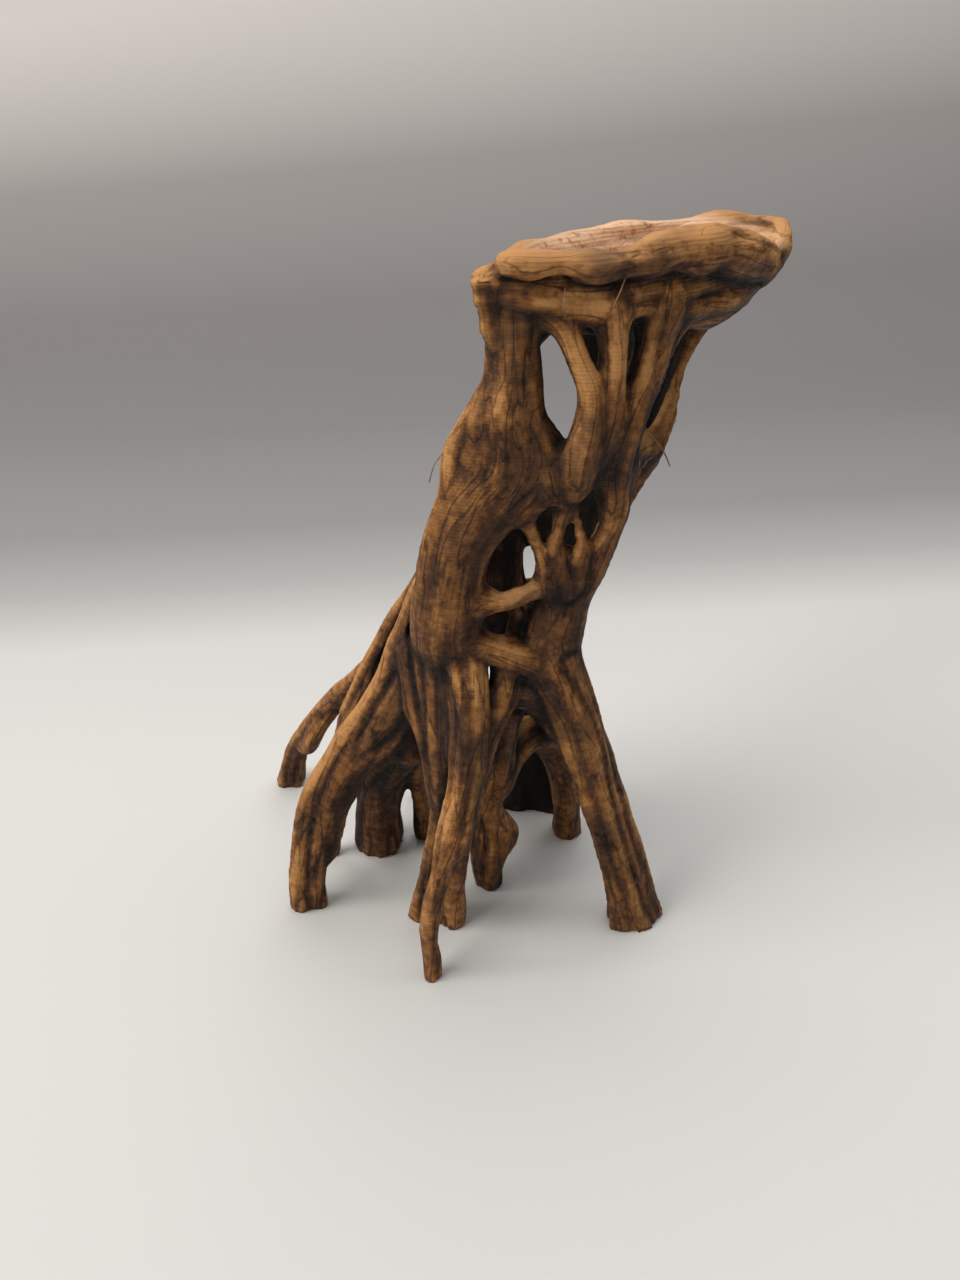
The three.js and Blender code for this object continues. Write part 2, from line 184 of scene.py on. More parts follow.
@dataclass(frozen=True)
class TrunkFront(RootletGroup):
    """The front wall of the trunk: a broad slab on the left, columns on the right, and windows."""

    region: Region = Region.TRUNK
    slab: Rootlet = Rootlet((
        (2.6, -22.3, 97, 3, 2), (2.8, -21.5, 91, 2.9, 2.4), (2.8, -21, 86.5, 3.3, 2.6),
        (2.3, -21, 82, 4.8, 2.7), (2.6, -20.5, 78, 6.2, 2.8), (1.8, -20.4, 74.4, 6.3, 2.8),
        (-0.9, -20.3, 70.8, 5, 2.8), (-3.2, -20, 66.5, 4.1, 2.8), (-4.4, -19.5, 61.5, 4.1, 3),
        (-5.4, -18.8, 56, 4.5, 3.1), (-5.7, -17.6, 51, 4.3, 3.1), (-5, -17, 48.5, 3, 2)), 0.45)
    slab_edge: Rootlet = Rootlet((
        (0.3, -21.6, 89, 0.8), (-0.3, -21, 85, 0.9), (-2.4, -20.5, 80.5, 1.1), (-4.2, -20, 76.5, 1.4),
        (-4.6, -20, 71.5, 1.5),
        (-6.6, -19, 64, 1.5), (-7.6, -18, 57.5, 1.7), (-8.2, -16.5, 51.5, 1.7)))
    column_left: Rootlet = Rootlet((
        (5.5, -22, 95, 2), (8, -22.4, 92.6, 1.7), (9.8, -22.5, 89, 1.4), (11.2, -22.5, 85.5, 1.4),
        (11.2, -22.4, 82, 1.6), (10.8, -22.2, 78.8, 1.9), (10.4, -21.8, 75.8, 1.8),
        (10.2, -21.2, 73.6, 1.4)), 0.7)
    column_mid: Rootlet = Rootlet((
        (13.2, -20.2, 95, 2.5), (13.8, -20.5, 91, 1.9), (14, -20.8, 86.5, 1.8), (13.6, -20.8, 82.5, 1.9),
        (12.9, -20.5, 79, 1.9), (12.2, -20, 76, 1.6), (11.8, -19.6, 74, 1.2)), 0.8)
    column_right: Rootlet = Rootlet((
        (19.2, -16, 94, 3.2), (18.8, -16.8, 90, 2.6), (17.8, -17.8, 85.5, 2.2), (16.4, -18.8, 81.5, 2.1),
        (15, -19, 77, 2.4), (15, -18.5, 73, 2.5), (15.5, -18, 69.5, 2), (15.1, -17.8, 66.5, 1.7),
        (13.4, -17.2, 62, 1.9), (11.2, -16.5, 57, 2.1), (9.6, -15.5, 51, 2.4)), 0.7)
    column_thin: Rootlet = Rootlet((
        (22, -13.8, 92, 1.6), (20.6, -15, 88, 1), (18.9, -16.5, 83.5, 0.9), (17.4, -17.4, 79, 0.9),
        (16.8, -17, 75, 1.3)))
    slit_posts: Rootlet = Rootlet((
        (9.6, -20.5, 74.2, 1.5), (8.9, -20, 70, 0.9), (8.4, -19.3, 66, 0.9), (8.6, -18.5, 62, 1.7),
        (9, -18, 59, 2)))
    slit_stay: Rootlet = Rootlet((
        (10.5, -19.6, 73.4, 1), (10.3, -19.6, 70.5, 0.6), (11, -19.4, 67.8, 0.6), (11.6, -19, 64.5, 1),
        (11.2, -18, 60, 1.6)))
    window_stay: Rootlet = Rootlet((
        (2.6, -20.6, 71.6, 1.3), (4, -20.1, 69.6, 1), (5.3, -19.8, 66.8, 0.85), (6.7, -19.4, 63.3, 0.85),
        (7.9, -19, 59.5, 1.2)))
    slab_bridge: Rootlet = Rootlet((
        (5.2, -20.6, 78, 2.2, 1.6), (6.2, -20.8, 75.4, 3.6, 1.9), (6.8, -20.7, 73.2, 3.4, 1.7),
        (7.2, -20.3, 71.9, 2.4, 1.3)), 0.5)
    waist: Rootlet = Rootlet((
        (9.2, -17.5, 62, 2.2, 1.8), (9, -16.5, 56, 3.2, 2.4), (7.8, -15.5, 49.5, 4.0, 2.6),
        (8, -15, 43.5, 4.0, 2.6), (9.5, -14.5, 38, 3.1, 2.4)))
    sill: Rootlet = Rootlet((
        (-4.5, -18, 50.8, 2.4), (-1.2, -18.4, 50.8, 1.9), (1.8, -18, 49.6, 1.9), (4.6, -17, 48.2, 2),
        (7.2, -15.8, 46.8, 2), (9.6, -14.6, 45.4, 1.8)), 0.5)
    window_web: Rootlet = Rootlet((
        (-3, -19, 57, 2.4), (-0.5, -19.4, 57.6, 1.9), (1.8, -19.6, 57.5, 1.2), (4.6, -19.4, 58.4, 0.95),
        (7.6, -19, 60, 0.9)), 0.5)
    window_drip: Rootlet = Rootlet((
        (3.2, -18.6, 57.8, 0.9), (3.5, -16.5, 56.5, 0.9), (3.3, -15, 50.5, 0.8)))
    side_web: Rootlet = Rootlet((
        (20, -10, 74.5, 1.5), (18, -12.5, 74.2, 2.0), (16, -16, 73, 2.2), (15.5, -17, 69.5, 1.5)))
    side_column: Rootlet = Rootlet((
        (27, -5, 91.5, 1.8), (24.8, -6, 85.5, 0.9), (23.4, -7, 81, 0.9), (22.4, -8, 77.5, 1.2),
        (20.4, -9, 73.5, 1.6), (18.2, -10, 70, 1.7), (16.2, -11, 66.5, 1.7), (14.8, -12, 62.5, 1.7),
        (13.5, -12, 58, 1.6), (11.4, -12, 54, 1.7), (9.6, -12, 47.5, 2.2)))


@dataclass(frozen=True)
class TrunkBack(RootletGroup):
    """The back wall of the trunk and the ribs that tie it to the front."""

    region: Region = Region.INSIDE
    back_left: Rootlet = Rootlet((
        (9.5, -11, 94.5, 2.4), (6.4, -9.6, 90.5, 2.4), (3, -7.6, 85, 2), (1, -4, 78, 2.2),
        (0.4, 0.5, 69, 2.4),
        (1.4, 3.5, 60, 3.2, 2.2), (1.8, 4, 54, 3.8, 2.2), (1.8, 4.6, 48, 4.4, 2.2),
        (2.6, 5.6, 42.5, 4.2, 2.2), (5, 8, 34, 2.4, 2), (6, 11, 26, 3.2, 2), (6.6, 15.5, 10, 4.8, 2.2),
        (7, 17.5, -2, 5.8, 2.6)))
    back_mid: Rootlet = Rootlet((
        (18, -2, 92, 3.0), (17, 3, 82, 2.6), (14.8, 5, 70, 2.6), (13, 6, 60, 2.7), (12, 6, 52, 2.8, 2.2),
        (11, 7, 42, 2.3), (10.6, 10, 28, 2.0), (11.6, 14.5, 12, 2.0), (12, 17, -2, 2.6)))
    back_web: Rootlet = Rootlet((
        (15.6, -3.6, 94, 2.2, 1.9), (14.6, -0.6, 90.5, 2.3, 1.7), (13.4, 1.6, 86.5, 2.2, 1.5),
        (13.6, 3.6, 80.5, 2.1, 1.5), (14.2, 4.8, 74, 2, 1.6)))
    back_right: Rootlet = Rootlet((
        (26, 2, 92, 3.2, 2.4), (22.8, 4, 83, 3.8, 2.0), (20.3, 5.5, 72, 3.6, 2.0), (17, 6, 61, 3.0, 2.0),
        (14, 5.5, 50, 2.6, 2.0), (11, 4.5, 41, 2.4), (9.5, 3.5, 31, 2.2), (9.8, 2.5, 24, 2.0)))
    back_corner: Rootlet = Rootlet((
        (0, 0, 69, 1.8), (-5, 1, 58, 2.0), (-9, 1, 48.5, 2.2), (-11.5, 1, 39, 2.6), (-12.5, -1, 30, 3.0)))
    rib_high: Rootlet = Rootlet(((1, -4, 79, 1.7), (-0.5, -11, 81, 1.7), (0.5, -18, 81, 1.9)))
    rib_upper_back: Rootlet = Rootlet((
        (2, 3.4, 60, 3, 1.7), (7.5, 5.5, 57.8, 3.9, 1.8), (13, 6, 60, 3, 1.8)))
    rib_lower_back: Rootlet = Rootlet((
        (3.4, 5.4, 45, 2.6, 1.7), (8, 6.5, 45.6, 3.1, 1.7), (12, 6.5, 46, 2.4, 1.8)))
    rib_side: Rootlet = Rootlet(((19.5, -9, 72.5, 1.5), (21.5, -1, 72, 1.5), (20.5, 5, 71, 1.7)))
    rib_side_low: Rootlet = Rootlet(((9.5, -12, 50, 1.7), (11.5, -3, 48.5, 1.7), (13, 5, 49.5, 1.9)))
    rib_left: Rootlet = Rootlet(((-5.5, -17, 60, 1.9), (-5.5, -8, 57, 2.0), (-5, 1, 58, 1.9)))


@dataclass(frozen=True)
class FeetFront(RootletGroup):
    """The front feet: the long thin leg and its fork, the middle leg, and the right leg."""

    region: Region = Region.FOOT
    thin_leg: Rootlet = Rootlet((
        (-3.3, -18, 50, 2.6), (-2.5, -20, 43.5, 2.4), (-2.9, -21, 34.5, 2.2), (-4.2, -23, 26, 2.1),
        (-6.4, -24, 18.5, 1.8), (-8, -25, 10.5, 1.4), (-7.9, -25, 3, 1.35), (-7.9, -25.1, -2, 1.6)))
    thin_leg_fork: Rootlet = Rootlet((
        (2.5, -17, 49, 1.8), (1.9, -17.6, 42, 2), (0.2, -18.8, 36.5, 1.7), (-1.3, -19, 32.5, 1.7),
        (-2.8, -19, 25, 1.6), (-3.9, -17.5, 17, 1.8), (-5, -14.5, 7, 1.8), (-5.3, -12.7, -2, 2.4)))
    fork_stub: Rootlet = Rootlet(((-1.6, -18.5, 33, 1.4), (-1.5, -15, 25, 1.2), (-1.9, -12.5, 15, 0.8)))
    mid_leg: Rootlet = Rootlet((
        (-7.8, -16, 50, 2.3), (-7.2, -16.3, 41, 2.2), (-6.8, -16.5, 31, 1.8), (-7, -15, 20, 1.5),
        (-8.7, -13, 9.5, 1.5), (-10.3, -11.3, -2, 2.2)))
    mid_leg_ridge: Rootlet = Rootlet((
        (-10.4, -14, 48, 1.4), (-9.8, -15, 40, 1.3), (-8.2, -16, 32.5, 1.2), (-6.9, -16, 24.5, 1.1)))
    leg_web: Rootlet = Rootlet((
        (-5, -17.5, 47, 1.5), (-5, -18, 40, 1.2), (-5.2, -18, 33, 1.1), (-5.6, -17.5, 27, 0.9)))
    right_leg: Rootlet = Rootlet((
        (8.8, -15.5, 47, 3.2), (11.6, -15, 40, 3.0), (13.8, -14.5, 33.5, 2.8), (16.2, -13.5, 24.5, 2.7),
        (18.9, -12.6, 15, 2.6), (21.2, -12.2, 7, 3.0), (22.6, -12, -2, 4.0)))
    right_leg_ridge: Rootlet = Rootlet((
        (10.8, -13.5, 43.5, 1.9), (14.8, -13, 34, 1.7), (18, -12.4, 24, 1.5), (21, -12, 15, 1.4),
        (23.5, -11.6, 7.5, 1.4), (26, -11.3, -2, 2.1)))
    right_leg_rib: Rootlet = Rootlet((
        (7.6, -17.4, 45, 1.2), (10.2, -17.1, 38, 1.2), (12.6, -16.2, 30, 1.1), (15.2, -15.2, 20, 1.0),
        (17.6, -14.4, 11, 1.1), (19.8, -14.4, 3, 1.5), (20.2, -14.6, -2, 1.9)))


@dataclass(frozen=True)
class FeetLeft(RootletGroup):
    """The left feet: three joined legs, the stout stump, and the far leg with its loop."""

    region: Region = Region.FOOT
    left_leg_outer: Rootlet = Rootlet((
        (-7.6, -14.5, 58, 1.8), (-9.6, -13.5, 53.5, 1.7), (-12.2, -12.2, 46.8, 1.5),
        (-16.3, -11, 38, 1.3), (-22, -10, 28.6, 1.4), (-26.6, -10, 18.4, 1.5), (-28.7, -10, 7.2, 1.5),
        (-29, -10, -2, 1.9)))
    left_leg_middle: Rootlet = Rootlet((
        (-9, -13, 49, 2.4), (-12, -12, 40, 2.4), (-17, -11, 31.5, 2.0), (-22.8, -9.9, 21.5, 1.7),
        (-25.6, -9.6, 9, 1.6), (-26.5, -9.2, -2, 2.2)))
    left_leg_inner: Rootlet = Rootlet((
        (-10, -12, 38, 2.6), (-13, -11, 32, 2.2), (-17.5, -9.5, 27, 1.8), (-21.6, -8.5, 19, 1.5),
        (-24.5, -7.5, 8, 1.4)))
    shoulder: Rootlet = Rootlet((
        (-7, -8, 50, 2.6), (-9.5, -8, 42, 3.0), (-11, -7, 34, 3.4), (-11.2, -5, 27, 3.4)))
    left_strut: Rootlet = Rootlet((
        (-7, -11, 60, 1.3), (-10, -9, 54.5, 1.1), (-12.8, -8, 49, 1.3), (-16.4, -7, 41.3, 1.6),
        (-19.4, -6.5, 33.5, 1.8), (-21.8, -8, 26.5, 1.7)))
    stump_leg: Rootlet = Rootlet((
        (-11.4, -4, 28, 3.6), (-15.6, 0, 20.6, 4.0), (-17.4, 4, 10.2, 3.7), (-17.9, 6.4, -2, 4.4)))
    stump_toe: Rootlet = Rootlet((
        (-20.8, -8, 21.5, 1.7), (-22.8, -1.5, 14, 1.3), (-24.6, 2.8, 5, 1.1), (-25, 3.6, -2, 1.3)))
    far_leg: Rootlet = Rootlet((
        (-12.5, 1, 38, 2.2), (-18.4, 6, 33, 1.6), (-22.8, 12, 26.2, 1.6), (-28.4, 18, 17.1, 1.7),
        (-33, 22, 8.4, 2.1), (-35.4, 24.6, -2, 2.8)))
    far_leg_loop: Rootlet = Rootlet((
        (-25.2, 14.8, 21.4, 1.3), (-28.2, 15.2, 16.6, 1.4), (-30.2, 17, 12, 1.3), (-32, 20.5, 10.5, 1.4)))


@dataclass(frozen=True)
class FeetBack(RootletGroup):
    """The back feet and the arch between them."""

    region: Region = Region.FOOT
    arch_shelf: Rootlet = Rootlet((
        (1.4, -15, 43.4, 2), (4.5, -14.8, 42.4, 3, 3), (8, -14, 40, 3.2, 3.2), (10.5, -12, 36, 3, 3)), 0.6)
    arch_leg: Rootlet = Rootlet((
        (3, -11.5, 38, 2.4), (2.2, -8, 27.7, 2.1), (0.4, -6, 18, 2.2), (0.5, -5, 11, 3.1),
        (0.3, -4.6, 5, 2.8), (0.8, -4.3, -2, 2)))
    arch_spur: Rootlet = Rootlet((
        (0.8, -5, 13, 1.5), (3.2, -4, 10.5, 1.5), (3.4, -4, 7.5, 1.2)))
    arch_span: Rootlet = Rootlet((
        (1.6, -6.8, 21, 2), (3.4, -4.6, 25, 2.6), (6.4, -3, 27.4, 2.8), (10.2, 1, 22.8, 2.7),
        (12.8, 6.4, 11.6, 2.4), (13.6, 10.2, -2, 2.9)), 0.6)
    arch_crown: Rootlet = Rootlet(((10.2, -7.5, 33, 2.8), (10.5, -2, 29, 2.6), (10.2, 2.5, 24, 2.2)))
    back_left_leg: Rootlet = Rootlet((
        (-10, 2, 40, 2.2), (-10.8, 5, 28, 1.9), (-11.4, 11, 17, 1.5), (-11.3, 17, 8, 1.4),
        (-11.2, 21.5, -2, 1.8)))
    small_leg: Rootlet = Rootlet((
        (-10.8, -3, 30, 1.9), (-11.3, 0, 20.6, 1.4), (-10.8, 5, 9.5, 1.3), (-10.3, 8.6, -2, 1.7)))


class Curve:
    """A smooth curve through a rootlet's stations, sampled at even steps with a frame that doesn't twist."""

    def __init__(self, rootlet: Rootlet, step: float) -> None:
        """Sample the rootlet.

        Args:
            rootlet: The rootlet to follow.
            step: Distance between samples in mm.
        """
        keys = np.array([s if len(s) == 5 else (*s, s[3]) for s in rootlet.stations], float)
        keys[:, :2] -= np.array(BOX_MIDDLE[:2])
        dense = self.spline(keys, 24)
        length = np.concatenate(([0], np.cumsum(np.linalg.norm(np.diff(dense[:, :3], axis=0), axis=1))))
        self.arc = np.linspace(0, length[-1], max(3, round(length[-1] / step) + 1))
        sampled = np.stack([np.interp(self.arc, length, dense[:, i]) for i in range(5)], axis=1)
        self.points, self.radii = sampled[:, :3], sampled[:, [3, 4, 3]]
        tangents = np.gradient(self.points, axis=0)
        self.tangents = tangents / np.linalg.norm(tangents, axis=1)[:, None]
        self.normals = self.carried(self.tangents)
        self.binormals = np.cross(self.tangents, self.normals)

    @staticmethod
    def spline(keys: np.ndarray, cuts: int) -> np.ndarray:
        """Draw a Catmull-Rom spline through rows of numbers.

        Args:
            keys: The rows to pass through.
            cuts: Steps between two rows.

        Returns:
            The rows of the spline.
        """
        ends = np.vstack((2 * keys[0] - keys[1], keys, 2 * keys[-1] - keys[-2]))
        knots = np.linspace(0, 1, cuts, endpoint=False)[:, None]
        rows = []
        for a, b, c, d in zip(ends, ends[1:], ends[2:], ends[3:]):
            rows.append(0.5 * (2 * b + (c - a) * knots + (2 * a - 5 * b + 4 * c - d) * knots**2
                               + (3 * b - a - 3 * c + d) * knots**3))
        return np.vstack((*rows, keys[-1:]))

    @staticmethod
    def carried(tangents: np.ndarray) -> np.ndarray:
        """Carry one sideways direction along the curve without twisting it.

        Args:
            tangents: Unit tangents, one a row.

        Returns:
            Unit directions square to the tangents.
        """
        side = np.cross(tangents[0], (0.3, 1.0, 0.1))
        sides = []
        for tangent in tangents:
            side = side - tangent * (side @ tangent)
            side = side / np.linalg.norm(side)
            sides.append(side)
        return np.array(sides)

    def tube(self, sides: int) -> bmesh.types.BMesh:
        """Bend a closed cylinder along the curve.

        Args:
            sides: Number of sides of the section.

        Returns:
            The tube, in mm.
        """
        rings = len(self.arc) - 1
        bm = bmesh.new()
        bmesh.ops.create_cone(bm, cap_ends=True, segments=sides, radius1=1, radius2=1, depth=1)
        upright = [e for e in bm.edges if abs(e.verts[0].co.z - e.verts[1].co.z) > 0.5]
        bmesh.ops.subdivide_edges(bm, edges=upright, cuts=rings - 1, use_grid_fill=False)
        for vert in bm.verts:
            i = round((vert.co.z + 0.5) * rings)
            side = self.normals[i] * vert.co.x + self.binormals[i] * vert.co.y
            vert.co = Vector(self.points[i] + side * self.radii[i])
        return bm


@dataclass
class WoodField:
    """How far any point is from the grown surface, with the creases between rootlets filled."""

    groups: list[RootletGroup]
    trough: Trough
    fill: float = 1.5  # the higher, the sharper the creases between rootlets, per mm
    step: float = 0.6  # between samples of a rootlet, in mm
    limits: tuple[float, float] = (-8.0, 40.0)  # distances beyond these count as these, in mm
    edge: float = 7.0  # the higher, the sharper one rootlet's finish ends at the next, per mm
    hull_edge: float = 5.0
    relief_depth: float = 1.2  # how far from its surface a rootlet's relief is read, in mm
    full_girth: float = 2.2  # the radius from which a rootlet is fluted at its full depth, in mm
    curves: list[tuple[Curve, Rootlet, Region]] = field(default_factory=list)

    def __post_init__(self) -> None:
        """Sample every rootlet once."""
        for group in self.groups:
            for rootlet in group.rootlets():
                self.curves.append((Curve(rootlet, self.step), rootlet, group.region))

    @staticmethod
    def near(curve: Curve, points: np.ndarray, reach: float) -> np.ndarray:
        """Find the points that lie near a curve.

        Args:
            curve: The curve.
            points: Points in mm, one a row.
            reach: How near, in mm from its surface.

        Returns:
            The indices of those points.
        """
        margin = curve.radii.max() + reach
        low, high = curve.points.min(0) - margin, curve.points.max(0) + margin
        return np.flatnonzero(((points > low) & (points < high)).all(1))

    @staticmethod
    def offset(curve: Curve, points: np.ndarray) -> tuple[np.ndarray, np.ndarray]:
        """Find where points lie beside a curve.

        Args:
            curve: The curve.
            points: Points in mm, one a row.

        Returns:
            The index of the nearest sample and the offset from the curve.
        """
        squares = (points**2).sum(1)[:, None] - 2 * points @ curve.points.T + (curve.points**2).sum(1)
        index = squares.argmin(1)
        offset = points - curve.points[index]
        along = (offset * curve.tangents[index]).sum(1)
        beyond = ((index == 0) & (along < 0)) | ((index == len(curve.arc) - 1) & (along > 0))
        return index, offset - np.where(beyond, 0, along)[:, None] * curve.tangents[index]

    def sample(self, points: np.ndarray, relief: Relief | None = None, reach: float = 3.0) -> Found:
        """Measure the surface near points.

        Args:
            points: Points in mm, one a row.
            relief: Works out three relief values from grain coordinates, or None to leave them out.
            reach: How far from a rootlet it still counts, in mm.

        Returns:
            Arrays: distance and slope of the filled surface, crease depth, the grain coordinates of the
            nearest rootlet, the relief values, flute depth, inside share, trough share and distance to
            the hollow.
        """
        count = len(points)
        weight, sharp = np.full(count, 1e-30), np.full(count, 1e-30)
        slope, grain, nearest = np.zeros((count, 3)), np.zeros((count, 3)), np.full(count, 1e3)
        flute, inside, dish = np.zeros(count), np.zeros(count), np.zeros(count)
        best, lift = np.full(count, 1e3), np.zeros((count, 3))
        for number, (curve, rootlet, region) in enumerate(self.curves):
            rows = self.near(curve, points, reach)
            if not len(rows):
                continue
            index, offset = self.offset(curve, points[rows])
            radii = curve.radii[index]
            size = np.linalg.norm(offset, axis=1) + 1e-9
            scaled = np.linalg.norm(offset / radii, axis=1) + 1e-9
            distance = size * (1 - 1 / scaled)
            share = np.exp(-self.fill * np.clip(distance, *self.limits))
            direction = offset / radii**2
            direction /= np.linalg.norm(direction, axis=1)[:, None] + 1e-12
            weight[rows] += share
            slope[rows] += share[:, None] * direction
            nearest[rows] = np.minimum(nearest[rows], distance)
            firm = np.exp(-self.edge * np.clip(distance, -4, 8))
            girth = radii.mean(1)
            axes = curve.normals[index], curve.binormals[index]
            across = np.stack([(offset * axis).sum(1) for axis in axes], axis=1)
            around = np.column_stack((across / size[:, None] * girth[:, None], curve.arc[index]))
            sharp[rows] += firm
            flute[rows] += firm * rootlet.flute * np.clip(girth / self.full_girth, 0.35, 1.0)
            inside[rows] += firm * (region is Region.INSIDE)
            dish[rows] += firm * (region is Region.TROUGH)
            nearer = distance < best[rows]
            grain[rows[nearer]] = around[nearer] + np.array((0.0, 0.0, 3.7 * number))
            best[rows[nearer]] = distance[nearer]
            if relief is not None:
                close = np.flatnonzero(distance < self.relief_depth)
                lift[rows[close]] += firm[close, None] * relief(around[close] + 19.0 * number)
        total = weight.copy()
        body, body_slope = self.oval(points, self.trough.hull)
        share = np.exp(-self.fill * np.clip(body, *self.limits))
        total += share
        slope += share[:, None] * body_slope
        firm = np.exp(-self.hull_edge * np.clip(body, -4, 8))
        sharp += firm
        grain = np.where((body < best)[:, None], points[:, [1, 2, 0]], grain)
        dish += firm
        flute += firm * 0.5
        if relief is not None:
            close = np.flatnonzero(body < self.relief_depth)
            lift[close] += firm[close, None] * relief(points[close][:, [1, 2, 0]])
        distance = -np.log(total) / self.fill
        crease = np.clip(np.minimum(nearest, body) - distance, 0, 2)
        hollow, hollow_slope = self.oval(points, self.trough.hollow)
        cut = -hollow > distance
        distance = np.where(cut, -hollow, distance)
        slope = np.where(cut[:, None], -hollow_slope, slope)
        slope /= np.linalg.norm(slope, axis=1)[:, None] + 1e-12
        return {
            "distance": distance, "slope": slope, "crease": crease, "grain": grain, "hollow": hollow,
            "lift": lift / sharp[:, None], "flute": flute / sharp, "inside": inside / sharp,
            "dish": dish / sharp,
        }

    def oval(self, points: np.ndarray, profile: Stations) -> tuple[np.ndarray, np.ndarray]:
        """Measure the distance and slope of one of the trough's oval bodies.

        Args:
            points: Points in mm, one a row.
            profile: The body's outline.

        Returns:
            The distance in mm and its unit slope.
        """
        points = points + np.array(BOX_MIDDLE)
        base = self.trough.distance(points, profile)
        near = [self.trough.distance(points + 0.05 * axis, profile) for axis in np.eye(3)]
        slope = np.stack(near, axis=1) - base[:, None]
        return base, slope / (np.linalg.norm(slope, axis=1)[:, None] + 1e-12)


def shown(name: str, data: bpy.types.ID) -> bpy.types.Object:
    """Put a mesh, a lamp or a camera into the scene.

    Args:
        name: The object's name.
        data: What it shows.

    Returns:
        The new object.
    """
    obj = bpy.data.objects.new(name, data)
    bpy.context.scene.collection.objects.link(obj)
    return obj


def as_object(bm: bmesh.types.BMesh, name: str) -> bpy.types.Object:
    """Turn a bmesh into an object and free it.

    Args:
        bm: The bmesh.
        name: The object's name.

    Returns:
        The new object.
    """
    mesh = bpy.data.meshes.new(name)
    bm.to_mesh(mesh)
    bm.free()
    return shown(name, mesh)


def merge(whole: bmesh.types.BMesh, part: bmesh.types.BMesh) -> None:
    """Add one bmesh to another and free it.

    Args:
        whole: The bmesh that grows.
        part: The bmesh that is used up.
    """
    mesh = bpy.data.meshes.new("part")
    part.to_mesh(mesh)
    part.free()
    whole.from_mesh(mesh)
    bpy.data.meshes.remove(mesh)


